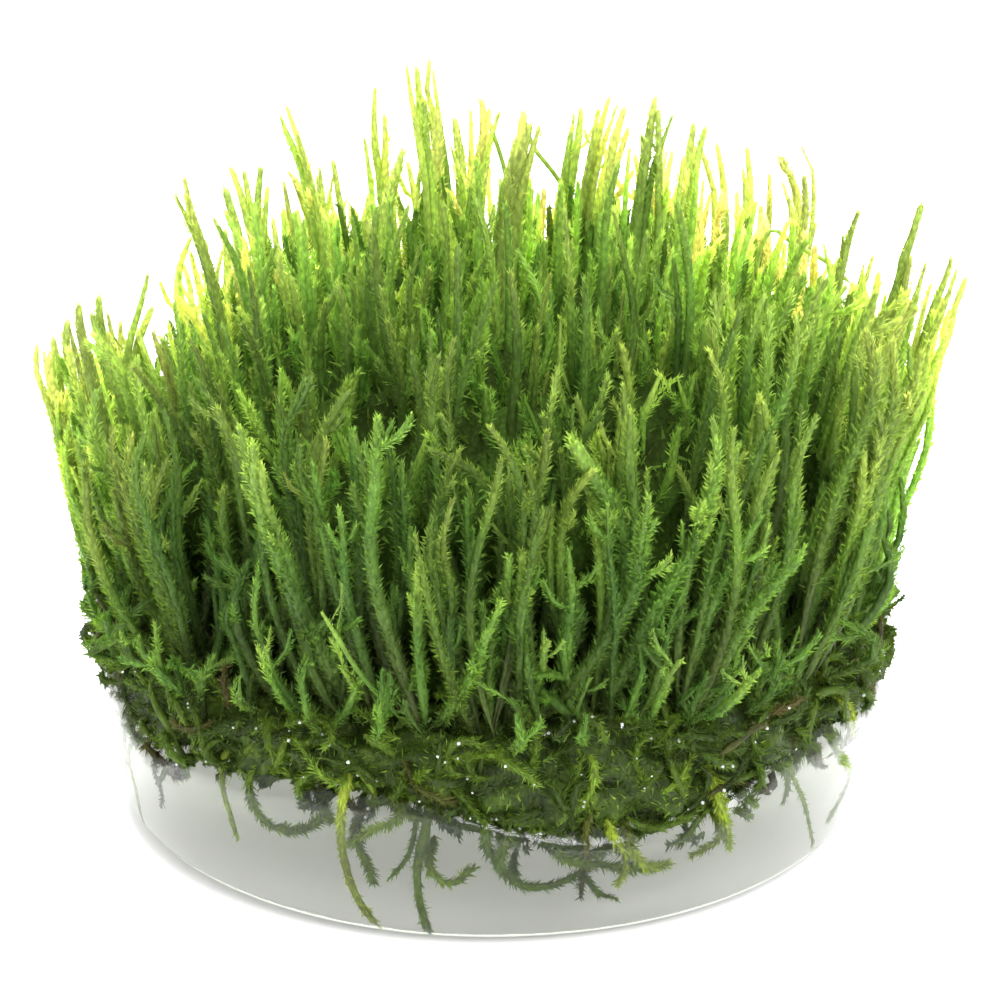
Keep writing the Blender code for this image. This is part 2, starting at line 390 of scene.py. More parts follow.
def grow_shoot(growth, axis, rng, plump, openness, look, taper, hidden=0.0, keeled=False, sides=5):
    """One leafy stem: a body of pressed leaves, and the leaf tips that stand out from it.

    plump scales its thickness, openness how far its leaves stand out, taper is the length of its
    narrowing end, and hidden the share of it, from its foot, that other shoots hide. look is its
    tone (0 green, 1 yellow), how young its tip is, and how light it is.
    """
    tone, youth, light = look
    body = BODY_RADIUS * plump
    blunt = rng.uniform(0.3, 0.6)
    dome = body * blunt * 1.6

    def body_at(share):
        to_tip = (1 - share) * axis.length
        narrowed = blunt + (1 - blunt) * rise(to_tip, 0, taper) ** 0.8
        foot = 0.6 + 0.4 * rise(share, 0, 0.2)
        return body * narrowed * foot * np.sqrt(1 - (1 - rise(to_tip, 0, dome)) ** 2)

    patch_shares = np.linspace(0, 1, 6)
    patch = patches(axis.at(patch_shares * axis.length)[0], PATCH_SIZE)

    def colour_at(share):
        age = np.maximum(FOOT_AGE, youth - (1 - share) * axis.length * AGE_FALL)
        here = np.interp(share, patch_shares, patch)
        grown = shoot_colour(age + 0.08 * here, tone + 0.5 * here)
        return np.minimum(grown * (light * (1 + 0.35 * here))[:, None], LIGHTEST)

    hidden_rings = math.ceil(hidden * axis.length / HIDDEN_STEP)
    seen_rings = max(3, int((1 - hidden) * axis.length / TUBE_STEP * sides / 5))
    shares = np.concatenate([
        np.linspace(0, hidden, hidden_rings, endpoint=False),
        np.linspace(hidden, 1 - dome / axis.length, seen_rings),
        [1 - 0.4 * dome / axis.length, 1],
    ])
    mottle = rng.uniform(0.85, 1.12, (len(shares), 1))
    radii = body_at(shares) * rng.uniform(0.88, 1.12, len(shares))
    add_tube(growth, axis, shares, sides, radii, colour_at(shares) * mottle * BODY_SHADE)
    count = int((1 - hidden) * axis.length * LEAVES_PER_METRE * plump**0.8)
    share = hidden + (1 - hidden) * ((np.arange(count) + rng.random()) / count) ** 0.85
    spread = openness * np.clip((1 - share) * axis.length / (taper * 0.6), 0.2, 1)
    length = LEAF_LENGTH * plump**0.4 * (0.7 + 0.4 * spread) * rng.uniform(0.6, 1.25, count)
    width = length * rng.uniform(0.24, 0.36, count)
    angle = TIGHT_ANGLE + (OPEN_ANGLE - TIGHT_ANGLE) * spread
    colours = colour_at(share) * rng.uniform(0.94, 1.10, count)[:, None]
    offset = body_at(share) * FOOT_SUNK
    add_leaves(growth, axis, share * axis.length, length, width, angle, offset, colours, rng, keeled)


def grow_branchlets(growth, axis, rng, plump, openness, look, chance, keeled=False):
    """Short side shoots near the end of a stem."""
    tone, youth, light = look
    for _ in range(int(chance + rng.random())):
        share = rng.uniform(0.62, 0.95)
        point, ahead, side, other = axis.place(share)
        turn = rng.uniform(0, 2 * math.pi)
        outward = side * math.cos(turn) + other * math.sin(turn)
        reach = rng.uniform(1.4, 3.6) * MM
        t = steps(6)
        line = point + ahead * reach * t + outward * reach * rng.uniform(0.4, 0.9) * (1 - (1 - t) ** 2)
        own = (tone, youth * rng.uniform(0.92, 1.04), light * rng.uniform(0.95, 1.15))
        grow_shoot(growth, Axis(held(line)), rng, plump * rng.uniform(0.5, 0.75), openness, own,
                   1.5 * MM, 0.0, keeled, 4)


def bent_line(foot, tip, upright, bow, end_bow=0, count=16):
    """A shoot's line: rises from its foot, bows to a side, and bends again near its end."""
    t = steps(count)
    turn = foot + (tip - foot) * np.array([1 - upright, 1 - upright, 0.55])
    line = foot * (1 - t) ** 2 + turn * 2 * t * (1 - t) + tip * t**2
    return line + bow * np.sin(math.pi * t) + end_bow * np.sin(math.pi * t**3)


def wavy(line, rng, size=0.16 * MM):
    """The same line with small bends from side to side, which grow towards its end."""
    t = steps(len(line))
    sways = rng.normal(0, size, (2, 3)) * np.array([1, 1, 0])
    for sway, turns in zip(sways, rng.uniform(2.5, 5, 2)):
        line = line + sway * np.sin(math.pi * turns * t) * t
    return line


def tips_and_foot(node):
    """The tips of a tuft's solid, which no edge climbs from, and the middle of its foot."""
    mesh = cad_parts[node].data
    raw = np.zeros(len(mesh.vertices) * 3)
    mesh.vertices.foreach_get("co", raw)
    corners, which = np.unique(np.round(raw.reshape(-1, 3), 6), axis=0, return_inverse=True)
    ends = np.zeros(len(mesh.edges) * 2, dtype=np.int32)
    mesh.edges.foreach_get("vertices", ends)
    ends = which.ravel()[ends].reshape(-1, 2)
    heights = corners[:, 2]
    climbing = ends[heights[ends[:, 0]] != heights[ends[:, 1]]]
    lower = np.where(heights[climbing[:, 0]] < heights[climbing[:, 1]], climbing[:, 0], climbing[:, 1])
    tips = np.setdiff1d(np.arange(len(corners)), lower)
    foot = corners[heights < heights.min() + 0.1 * MM]
    return corners[tips], foot.mean(axis=0)


# the shoots that stand out against the sky in the photograph, left to right: pixels from the tip
# down, and how thick the shoot is at its end
SKYLINE_SHOOTS = [
    ([(37, 345), (35, 362), (46, 399), (56, 427), (69, 487), (82, 547)], 0.75),
    ([(53, 338), (55, 352), (59, 378), (64, 425)], 0.95),
    ([(68, 321), (65, 336), (69, 365), (73, 400)], 1.1),
    ([(79, 305), (78, 322), (84, 345), (93, 385)], 1.2),
    ([(99, 296), (98, 316), (104, 340), (106, 370)], 1.2), ([(120, 322), (121, 336), (120, 355)], 0.7),
    ([(148, 275), (142, 300), (133, 329), (127, 350), (126, 378)], 0.75),
    ([(153, 331), (157, 347), (165, 368)], 0.8), ([(176, 290)], 1),
    ([(184, 177), (188, 197), (194, 221), (200, 237)], 0.75), ([(206, 216)], 0.8),
    ([(230, 167), (236, 180), (241, 196)], 0.85), ([(225, 188)], 1.2),
    ([(261, 167), (258, 193), (257, 221), (260, 249)], 0.9), ([(271, 220)], 0.9),
    ([(287, 107), (291, 120), (301, 148), (309, 175)], 0.72), ([(288, 172), (300, 184)], 0.7),
    ([(316, 176)], 1), ([(333, 161), (337, 185), (341, 209)], 0.75), ([(365, 212)], 0.9),
    ([(375, 88), (374, 120), (375, 148), (380, 177), (381, 193)], 0.8),
    ([(403, 150), (399, 165), (391, 193), (383, 221)], 1.2),
    ([(407, 66), (409, 84), (413, 108), (417, 128)], 0.68),
    ([(430, 59), (428, 76), (427, 92), (433, 112), (436, 130)], 0.7), ([(437, 112)], 1.1),
    ([(454, 119)], 0.95), ([(470, 110)], 0.8), ([(479, 99), (487, 112), (484, 135), (477, 168)], 1),
    ([(490, 110), (486, 128)], 0.9),
    ([(524, 112), (522, 132), (514, 168), (506, 200), (500, 233)], 1.35),
    ([(530, 124), (524, 145)], 1.1), ([(581, 110), (580, 130), (574, 160)], 1),
    ([(609, 98), (604, 115), (595, 150)], 0.9), ([(620, 118), (612, 145)], 1), ([(628, 107)], 0.85),
    ([(655, 98), (651, 125), (645, 160)], 1), ([(694, 124), (690, 150)], 1.1), ([(705, 128)], 0.9),
    ([(717, 144), (722, 170)], 0.9), ([(747, 148), (750, 176), (751, 200), (748, 240)], 0.85),
    ([(801, 147), (808, 156), (813, 173), (814, 193), (812, 226)], 0.55),
    ([(804, 176), (806, 204), (800, 250)], 1.15),
    ([(858, 212), (847, 246), (841, 271), (835, 299), (829, 330)], 0.95),
    ([(873, 256), (866, 280)], 0.7), ([(879, 272), (874, 300)], 0.8),
    ([(922, 204), (913, 234), (905, 257), (896, 293), (888, 315)], 0.95),
    ([(926, 263), (918, 290), (908, 315)], 0.7),
    ([(951, 258), (949, 276), (940, 290), (933, 310), (923, 343), (915, 371)], 0.85),
    ([(966, 278), (961, 293), (954, 310), (950, 330), (933, 371), (919, 399)], 0.85),
]
# the top of the close growth below them, as pixels
CROWD_PIXELS = [
    (30, 352), (100, 330), (150, 360), (185, 240), (235, 195), (300, 205), (350, 215), (405, 155),
    (440, 135), (520, 165), (545, 195), (600, 145), (660, 140), (740, 190), (800, 225), (850, 268),
    (930, 290), (975, 320),
]
PIXELS_PER_METRE_UP = 9900  # how far a point moves in the picture when it rises, at the crowd
SKYLINE_DEPTH = -8 * MM  # only tips behind this reach the skyline
# the left and right edges of the growth, from the top down
LEFT_EDGE_PIXELS = [(42, 340), (50, 390), (62, 450), (75, 530), (88, 600)]
RIGHT_EDGE_PIXELS = [
    (960, 280), (948, 330), (934, 390), (926, 450), (916, 510), (897, 565), (883, 610),
]
PIXELS_PER_METRE_ASIDE = 11700
REACH = 38.4 * MM  # how far from the middle the shoots spread


def held(line):
    """The same line, leaning in so far that it keeps within the growth's reach and its side edges."""
    across, down = pixels_of(line).T
    left, right = (
        np.interp(down, [row for _, row in edge], [column for column, _ in edge])
        for edge in (LEFT_EDGE_PIXELS, RIGHT_EDGE_PIXELS)
    )
    over = np.maximum(left - across, 0) - np.maximum(across - right, 0)
    lean = np.linspace(1, 0, len(line))[::-1, None] ** 0.5
    line = line + lean * np.array([over[np.abs(over).argmax()] / PIXELS_PER_METRE_ASIDE, 0, 0])
    out = np.hypot(line[:, 0], line[:, 1]).max()
    line[:, :2] *= 1 - lean * max(0, 1 - REACH / out)
    return line


def nearest_place(places, point):
    """Which of these places is nearest to a point, seen from above."""
    return np.hypot(*(places - point)[:, :2].T).argmin()


def natural_foot(tip):
    """Where on the mat a shoot stands that has spread outwards to this tip."""
    spread = 1 + FLARE * max(0.0, tip[2] - MAT_TOP)
    return np.array([tip[0] / spread, tip[1] / spread, MAT_TOP - FOOT_DEPTH])


def route_to_tip(pixels, tip):
    """The points below a skyline tip that the photograph shows, lowest first, and the tip."""
    foot = natural_foot(tip)
    foot_row = pixels_of(foot[None])[0, 1]
    points = []
    for pixel in reversed(pixels):
        share = (pixel[1] - pixels[0][1]) / (foot_row - pixels[0][1])
        points.append(seen_at_depth(pixel, tip[1] + (foot[1] - tip[1]) * share))
    return np.array(points)


def fit_tips(tips):
    """Moves the tips that are nearest to the photograph's skyline onto it, and trims the rest below it.

    Gives each tip's route, lowest point first, and its thickness where it is on the skyline, else 0.
    """
    seen = pixels_of(tips)
    free = tips[:, 1] > SKYLINE_DEPTH
    routes = [tip[None].copy() for tip in tips]
    thickness = np.zeros(len(tips))
    for pixels, plump in SKYLINE_SHOOTS:
        away = np.hypot(*(seen - pixels[0]).T)
        nearest = np.where(free, away, np.inf).argmin()
        free[nearest] = False
        routes[nearest] = route_to_tip(pixels, seen_near(pixels[0], tips[nearest]))
        thickness[nearest] = plump
    crowd = np.array(CROWD_PIXELS)
    over = np.interp(seen[:, 0], crowd[:, 0], crowd[:, 1]) - seen[:, 1]
    for index in np.flatnonzero(thickness == 0):
        routes[index][0, 2] -= max(0, over[index]) / PIXELS_PER_METRE_UP
        routes[index] = held(routes[index])
    return routes, thickness


# shoots that stand out at the front of the photograph: pixels of the tip, the middle and the foot,
# how far the tip leans away from the camera in mm, plumpness, openness, and how young the tip is
FRONT_SHOOTS = [
    ((116, 503), (128, 560), (168, 640), 2, 1, 0.6, 0.8),
    ((153, 467), (142, 545), (172, 640), 1, 1, 0.6, 0.8),
    ((202, 481), (170, 545), (178, 645), 1, 0.8, 0.6, 0.92),
    ((208, 425), (210, 520), (218, 650), 3, 1.05, 0.9, 0.72),
    ((249, 443), (278, 560), (352, 712), -1, 1.75, 0.7, 0.82),
    ((258, 465), (286, 560), (354, 712), -1, 1.1, 0.7, 0.86),
    ((288, 420), (292, 520), (350, 700), 4, 0.9, 0.7, 0.64),
    ((312, 462), (330, 560), (372, 716), 1, 0.95, 0.7, 0.68),
    ((338, 510), (349, 600), (382, 718), 0, 0.95, 0.7, 0.72),
    ((354, 430), (358, 540), (400, 715), 4, 1.2, 0.7, 0.66),
    ((379, 418), (372, 560), (420, 728), 1, 1.25, 0.6, 0.74),
    ((408, 529), (416, 610), (424, 718), 2, 0.8, 0.7, 0.7),
    ((418, 564), (418, 640), (426, 728), -1, 0.9, 0.6, 0.84),
    ((322, 612), (356, 668), (405, 724), -2, 0.45, 0.2, 0.86),
    ((490, 630), (468, 680), (438, 727), -1, 1.2, 1, 0.62),
    ((466, 500), (470, 600), (452, 715), 3, 0.9, 0.9, 0.6),
    ((508, 556), (507, 620), (498, 714), -1, 1.05, 0.7, 0.78),
    ((524, 553), (515, 620), (502, 714), -1, 1.35, 0.7, 0.8),
    ((512, 478), (505, 570), (498, 705), 3, 1, 0.7, 0.72),
    ((552, 475), (548, 560), (540, 700), 3, 0.95, 0.7, 0.66),
    ((547, 642), (541, 670), (530, 716), -1, 0.85, 0.5, 0.84),
    ((571, 548), (570, 620), (562, 714), 0, 0.95, 0.7, 0.76),
    ((572, 440), (632, 555), (585, 705), 0, 2.3, 0.8, 0.84),
    ((646, 498), (634, 590), (548, 718), -2, 1.15, 1, 0.78),
    ((715, 508), (662, 600), (600, 712), 0, 1.9, 0.9, 0.78),
    ((679, 662), (665, 685), (650, 722), -1, 0.85, 0.5, 0.84),
    ((760, 516), (715, 600), (680, 705), 0, 1.2, 0.8, 0.68),
    ((758, 672), (738, 695), (705, 722), -1, 0.9, 0.5, 0.84),
    ((798, 560), (760, 600), (700, 708), 1, 1.4, 0.8, 0.62),
    ((820, 503), (800, 545), (750, 650), 2, 1.15, 0.7, 0.78),
    ((846, 511), (815, 545), (755, 655), 2, 1.15, 0.7, 0.82),
    ((862, 573), (815, 600), (765, 655), 0, 1.05, 0.6, 0.84),
    ((276, 608), (250, 640), (205, 668), -1, 1.6, 0.7, 0.55),
]
# bare stems that cross the gaps in the skyline: pixels along each
BARE_STEMS = [
    [(762, 338), (761, 288), (757, 265), (763, 243), (771, 230), (796, 246), (824, 260), (852, 285)],
    [(526, 120), (531, 142), (553, 172), (571, 200), (577, 222)],
    [(483, 106), (488, 120), (502, 160), (506, 176), (511, 196)],
    [(929, 322), (938, 319), (950, 322)],
]
BARE_STEM_DEPTH = 10 * MM
BARE_STEM_RADIUS = 0.21 * MM
# painted backlight: the skyline tips kept young, so pale, for the light shining through them
SKYLINE_YOUTH = 0.92  # at least, of the tips on the skyline
MOST_HIDDEN = 0.9  # share of a shoot's length


def youth_with_backlight_at(tip):
    """Tips at the back, sides and right are made youngest, so yellowest: painted backlight shining
    through them.
    """
    back = rise(tip[1], -6 * MM, 19 * MM)
    aside = rise(abs(tip[0]), 22 * MM, 14 * MM)
    right = rise(tip[0], 8 * MM, 14 * MM) * back
    return 0.62 + 0.34 * max(back, 0.4 * aside) + 0.04 * right


def grow_bundle(growth, foot, route, thickness, hidden_length, rng):
    """A main shoot and shorter ones that stand close against it, as wet moss does.

    thickness is 0 unless the main shoot is one of the skyline's. Shoots are painted lighter
    behind the middle, a little less at the very back, and lighter and yellower to the right, as
    in the photograph: painted light, for the light that shines through them from behind.
    """
    tip = route[-1]
    youth = youth_with_backlight_at(tip)
    rim = np.clip(np.hypot(*foot[:2]) / MAT_RADIUS * 2.2 - 1.0, 0, 1)
    behind = rise(foot[1], -17 * MM, 17 * MM)
    far_back = rise(foot[1], 8 * MM, 10 * MM)
    to_right = rise(foot[0], 0, 12 * MM) * (1 - 0.5 * rim)
    if len(route) > 1:
        line = curve_through([foot, *route], 8)
    else:
        bent = (1.4 - 0.5 * behind) * MM
        bow, end_bow = level_step(rng, bent), level_step(rng, 0.7 * bent)
        line = held(wavy(bent_line(foot, tip, rng.uniform(0.25, 0.6), bow, end_bow), rng))
    main = Axis(line)
    # painted light: yellower and lighter to the right, lighter behind the middle, a little less at the
    # far back
    tone = rng.uniform(0.15, 0.85) + 0.3 * to_right
    light = rng.uniform(0.90, 1.10) * (0.67 + 1.13 * behind - 0.32 * far_back + 0.42 * to_right)
    if thickness:
        # painted backlight: the skyline tips young and pale, toned down to the right and at the far
        # sides
        youth = max(youth, SKYLINE_YOUTH)
        tone = rng.uniform(0.3, 0.9)
        light *= 0.86 - 0.20 * to_right - 0.12 * (abs(tip[0]) > 24 * MM)
        plump = 1.25 * thickness
        openness = rng.uniform(0.4, 0.7)
        taper = rng.uniform(5, 9) * MM
    else:
        plump = rng.uniform(0.7, 1.15)
        openness = rng.uniform(0.45, 0.8) + 0.2 * rim
        taper = rng.uniform(4, 8) * MM
    look = (tone, youth, light)
    hidden = np.clip(1 - hidden_length / main.length, 0, MOST_HIDDEN)
    grow_shoot(growth, main, rng, plump, openness, look, taper, hidden)
    if not thickness:
        grow_branchlets(growth, main, rng, plump, openness, look, 0.8)
    for number in range(rng.integers(1, 4) if behind > 0 else rng.integers(0, 3)):
        share = rng.uniform(0.55, 0.9) if number else rng.uniform(0.76, 0.95)
        own_tone = np.clip(tone + rng.normal(0, 0.3), 0, 1)
        own = (own_tone, youth * rng.uniform(0.90, 1.0), light * rng.uniform(0.88, 1.12))
        kept = max(5, int(share * len(line)))
        if rng.random() < 0.65:
            t = steps(kept)
            turn = rng.uniform(0, 2 * math.pi)
            aside = round_place(1, turn) * rng.uniform(0.8, 1.5) * MM
            beside = line[:kept] + aside * (0.2 + 0.8 * t)
        else:
            goal = line[kept - 1] + level_step(rng, (1.9 - 0.8 * behind) * MM)
            start = foot + level_step(rng, 0.7 * MM)
            bow = level_step(rng, 1.0 * MM)
            beside = bent_line(start, goal, rng.uniform(0.25, 0.6), bow)
        axis = Axis(held(wavy(beside, rng)))
        hidden = np.clip(1 - hidden_length * 0.9 / axis.length, 0, MOST_HIDDEN)
        size = rng.uniform(0.65, 1.1)
        grow_shoot(growth, axis, rng, size, openness, own, rng.uniform(4, 8) * MM, hidden, False, 4)
        grow_branchlets(growth, axis, rng, size, openness, own, 0.5)


FRONT_FLARE = 5.0  # mm, how far the growth's front spreads towards the camera
FRONT_YOUTH = 0.80
FRONT_LIGHT = 0.98


def grow_front_shoot(growth, tip, middle, foot, lean, plump, openness, youth, rng):
    start = seen_at_height(foot, MAT_TOP - 0.4 * MM)
    end = seen_at_depth(tip, start[1] + (lean - FRONT_FLARE) * MM)
    half_way = seen_at_depth(middle, start[1] + (lean * 0.4 - FRONT_FLARE * 0.6) * MM)
    axis = Axis(wavy(curve_through([start, half_way, end], 12), rng, 0.10 * MM))
    look = (rng.uniform(0.1, 0.4), FRONT_YOUTH * youth, FRONT_LIGHT)
    grow_shoot(growth, axis, rng, plump, openness, look, rng.uniform(5, 8) * MM * plump, 0.0, True, 7)
    grow_branchlets(growth, axis, rng, plump * 0.8, openness, look, 2, True)


SKIRT_SHOOTS = 340


def grow_skirt(growths, feet, rng):
    """Short shoots all round the mat's edge, in front of the tall ones' feet."""
    for index in range(SKIRT_SHOOTS):
        angle = 2 * math.pi * (index + rng.uniform(-0.4, 0.4)) / SKIRT_SHOOTS
        tall = rng.uniform(0, 1) ** 1.3
        out = (33.8 - 6.5 * tall + rng.uniform(-1, 1)) * MM
        foot = round_place(out, angle, MAT_TOP - FOOT_DEPTH)
        tip = foot + np.array([0, 0, (3 + 17 * tall) * MM])
        tip[:2] *= 1 + rng.uniform(0.2, 3.0) * MM / out
        tip[:2] += rng.normal(0, 1.5 * MM, 2)
        tip[:2] *= min(1, (GEL_RADIUS + 1 * MM) / np.hypot(*tip[:2]))
        bow = level_step(rng, 1.2 * MM)
        axis = Axis(held(wavy(bent_line(foot, tip, rng.uniform(0.1, 0.5), bow, bow * 0.3, 10), rng)))
        growth = growths[nearest_place(feet, foot)]
        look = (rng.uniform(0, 0.6), rng.uniform(0.38, 0.56), rng.uniform(0.8, 1.05))
        plump = rng.uniform(0.6, 1.1)
        grow_shoot(growth, axis, rng, plump, rng.uniform(0.5, 1.0), look, rng.uniform(2, 4) * MM)
        grow_branchlets(growth, axis, rng, plump, 0.9, look, 0.8)


THICKET_DEPTH = 11 * MM  # how far the thick of the growth lies below the tips
THICKET_RADIUS = 0.80 * MAT_RADIUS  # at its foot
THICKET_TOP_SHARE = 0.7  # of its rings lie on its top, and the rest go down its side
THICKET_RINGS = 30
THICKET_SECTORS = 90
THICKET_LEAVES = 9000
THICKET_SPRIGS = 320


def scatter_leaves(growth, points, triangles, weights, sizes, colours, upright, rng):
    """Leaves all over a surface, one of each size and colour, more of them where the weights are.

    upright says how much more they may stand up from the surface than lie along it.
    """
    count = len(sizes)
    a, b, c = (points[triangles[:, k]] for k in range(3))
    normals = np.cross(b - a, c - a)
    areas = np.linalg.norm(normals, axis=1)
    normals /= np.maximum(areas, 1e-12)[:, None]
    share = areas * weights
    chosen = rng.choice(len(triangles), count, p=share / share.sum())
    u, v = rng.random((2, count, 1))
    fold = u + v > 1
    u = np.where(fold, 1 - u, u)
    v = np.where(fold, 1 - v, v)
    foot = a[chosen] + (b - a)[chosen] * u + (c - a)[chosen] * v
    normal = normals[chosen]
    random_way = rng.normal(0, 1, (count, 3))
    flow = unit(random_way - normal * np.sum(random_way * normal, axis=1, keepdims=True))
    along = unit(flow + normal * rng.uniform(0.1, upright, (count, 1)))
    across = unit(np.cross(along, normal + 0.3 * random_way))
    length = sizes[:, None]
    corners = [foot - across * length * 0.13, foot + across * length * 0.13, foot + along * length]
    light = 1 + 0.8 * patches(foot, 2 * MM)
    order = np.arange(count * 3).reshape(-1, 3)
    growth.add(np.stack(corners, axis=1), order, (colours * light[:, None])[:, None] * PLAIN_SHADES)


def ring_triangles(rings, sectors):
    """The triangles of a surface whose points are given ring by ring."""
    sector = np.arange(sectors)[None]
    row = np.arange(rings - 1)[:, None] * sectors
    here = row + sector
    after = row + (sector + 1) % sectors
    return np.concatenate([
        np.stack([here, here + sectors, after], axis=-1).reshape(-1, 3),
        np.stack([after, here + sectors, after + sectors], axis=-1).reshape(-1, 3),
    ])


def build_thicket(tips, finish):
    """The thick of the growth: a lumpy cushion among the shoots, below their tips, painted dark as deep
    shade.
    """
    rng = np.random.default_rng(23)
    stands = np.array([natural_foot(tip)[:2] for tip in tips])
    points = []
    for ring in range(THICKET_RINGS):
        share = ring / (THICKET_RINGS - 1)
        out = THICKET_RADIUS * min(1, share / THICKET_TOP_SHARE + 0.001)
        sunk = max(0, share - THICKET_TOP_SHARE) / 0.3
        for angle in circle(THICKET_SECTORS):
            place = round_place(out, angle)[:2]
            near = np.exp(-np.sum((stands - place) ** 2, axis=1) / (2 * (3 * MM) ** 2))
            high = np.sum(near * tips[:, 2]) / np.sum(near) - THICKET_DEPTH
            height = high + (MAT_TOP - 1 * MM - high) * sunk
            rough = noise.noise(Vector((*place, height)) * 350) * 2.5 * MM
            spread = 1 + FLARE * max(0, height - MAT_TOP) + (rough / out if sunk > 0 else 0)
            points.append((*(place * spread), height + (rough if sunk == 0 else 0)))
    points = np.array(points)
    triangles = ring_triangles(THICKET_RINGS, THICKET_SECTORS)
    growth = Growth()
    ages = 0.28 + 0.25 * patches(points, 3 * MM)
    # painted shade: the cushion's colour darkened to a fifth to a third
    shade = rng.uniform(0.2, 0.36, (len(points), 1))
    growth.add(points, triangles, shoot_colour(ages, np.full(len(points), 0.2)) * shade)
    sizes = rng.uniform(0.7, 1.5, THICKET_LEAVES) * MM
    colours = shoot_colour(rng.uniform(0.25, 0.6, THICKET_LEAVES), rng.uniform(0, 0.7, THICKET_LEAVES))
    # painted shade on the leaves scattered over the cushion
    colours *= rng.uniform(0.35, 0.75, (THICKET_LEAVES, 1))
    scatter_leaves(growth, points, triangles, 1, sizes, colours, 4, rng)
    for _ in range(THICKET_SPRIGS):
        ring = int(THICKET_TOP_SHARE * THICKET_RINGS * math.sqrt(rng.random()))
        foot = points[ring * THICKET_SECTORS + rng.integers(THICKET_SECTORS)] - np.array([0, 0, 1 * MM])
        tall = rng.uniform(5, 9) * MM
        tip = foot + np.append(foot[:2] * 5 + rng.normal(0, 0.2, 2), 1) * tall
        bow = level_step(rng, 0.7 * MM)
        look = (rng.uniform(0, 0.7), rng.uniform(0.48, 0.66), rng.uniform(0.8, 1.15))
        grow_shoot(growth, Axis(bent_line(foot, tip, 0.4, bow, -bow, 10)), rng, rng.uniform(0.7, 1.2),
                   rng.uniform(0.5, 0.9), look, rng.uniform(2, 4) * MM, 0.0, False, 4)
    piece = growth.build("thicket", finish)
    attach(piece, "root")


SEEN_DEPTH = 10 * MM  # how far down a shoot in the thick of the growth is seen
OUTER_SEEN_DEPTH = 22 * MM  # and one at its edge


def build_shoots(finish, deep_finish):
    rng = np.random.default_rng(11)
    layouts = [tips_and_foot(node) for node in TUFTS]
    feet = np.array([foot for _, foot in layouts])
    owners = np.repeat(np.arange(len(TUFTS)), [len(tips) for tips, _ in layouts])
    routes, thickness = fit_tips(np.concatenate([tips for tips, _ in layouts]))
    growths = [Growth() for _ in TUFTS]
    gather = rng.uniform(0.1, 0.45, len(TUFTS))  # how closely each tuft's shoots stand at their feet
    for owner, route, thick in zip(owners, routes, thickness):
        foot = natural_foot(route[-1])
        foot[:2] += (feet[owner][:2] - foot[:2]) * gather[owner] + rng.normal(0, 0.5 * MM, 2)
        outer = rise(np.hypot(*foot[:2]) / MAT_RADIUS, 0.62, 0.15)
        seen = SEEN_DEPTH + (OUTER_SEEN_DEPTH - SEEN_DEPTH) * outer
        grow_bundle(growths[owner], foot, route, thick, seen, rng)
    for shoot in FRONT_SHOOTS:
        start = seen_at_height(shoot[2], MAT_TOP)
        grow_front_shoot(growths[nearest_place(feet, start)], *shoot, rng)
    grow_skirt(growths, feet, rng)
    for pixels in BARE_STEMS:
        line = curve_through([seen_at_depth(pixel, BARE_STEM_DEPTH) for pixel in pixels], 6)
        growth = growths[nearest_place(feet, natural_foot(line[-1]))]
        shares = np.linspace(0, 1, 3 * len(pixels))
        add_tube(growth, Axis(line), shares, 5, np.full(len(shares), BARE_STEM_RADIUS),
                 np.repeat(BARE_STEM, len(shares), axis=0))
    build_thicket(np.array([route[-1] for route in routes]), deep_finish)
    for node, growth in zip(TUFTS, growths):
        piece = growth.build(f"leafy_{node}", finish)
        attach(piece, "root")
        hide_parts(node)


# ---------------------------------------------------------------- tangled stems

# the tangle's lower edge in the photograph, as pixels of the gel's wall
TANGLE_FLOOR_PIXELS = [
    (125, 745), (160, 785), (200, 790), (260, 812), (330, 822), (400, 830), (470, 846), (540, 866),
    (620, 868), (680, 856), (730, 842), (775, 792), (820, 770), (850, 740),
]
TANGLE_FLOOR_HEIGHT = 10.8 * MM  # round the sides and back that the photograph doesn't show
FLOOR_POINTS = [seen_in_wall(pixel, 0) for pixel in TANGLE_FLOOR_PIXELS]
FLOOR_ANGLES = [math.atan2(point[0], -point[1]) for point in FLOOR_POINTS]
FLOOR_HEIGHTS = [point[2] for point in FLOOR_POINTS]

WALL_STRANDS = 430
DEEP_STRANDS = 10
TOP_STRANDS = 150
STRAND_LEAVES_PER_METRE = 33000
STRAND_LEAF_ANGLE = math.radians(46)
BROWN_SHARE = 0.10
BARE_SHARE = 0.14  # of the strands at the wall
CORE_SECTORS = 250
CORE_RINGS = 34
CORE_TOP = 18.6 * MM
CORE_RADIUS = 33.2 * MM
# painted shade: the matted middle darkened so it reads as the dark gaps between strands
CORE_SHADE = 0.6
FUZZ_LEAVES = 26000
WANDER_STEP = 0.6 * MM
HOMING = 0.40  # how sharply a strand turns back at the wall
FLOATING = 0.35  # and at the tangle's floor and top
FUZZ_FROM_RADIUS = 27 * MM  # nearer the middle, the shoots hide the tangle


def tangle_floor(x, y):
    """How low the tangle hangs into the gel here."""
    height = np.interp(math.atan2(x, -y), FLOOR_ANGLES, FLOOR_HEIGHTS,
                       TANGLE_FLOOR_HEIGHT, TANGLE_FLOOR_HEIGHT)
    return height + 0.6 * MM * noise.noise(Vector((x, y, 0)) * 160)


def strand_reach(point, inset):
    """How far out a strand may lie here: inside the gel's wall low down, and at it higher up."""
    risen = point[2] - tangle_floor(point[0], point[1]) - 1.5 * MM
    return gel_wall(point[2]) - max(inset, 1.3 * MM - 0.7 * max(0.0, risen))


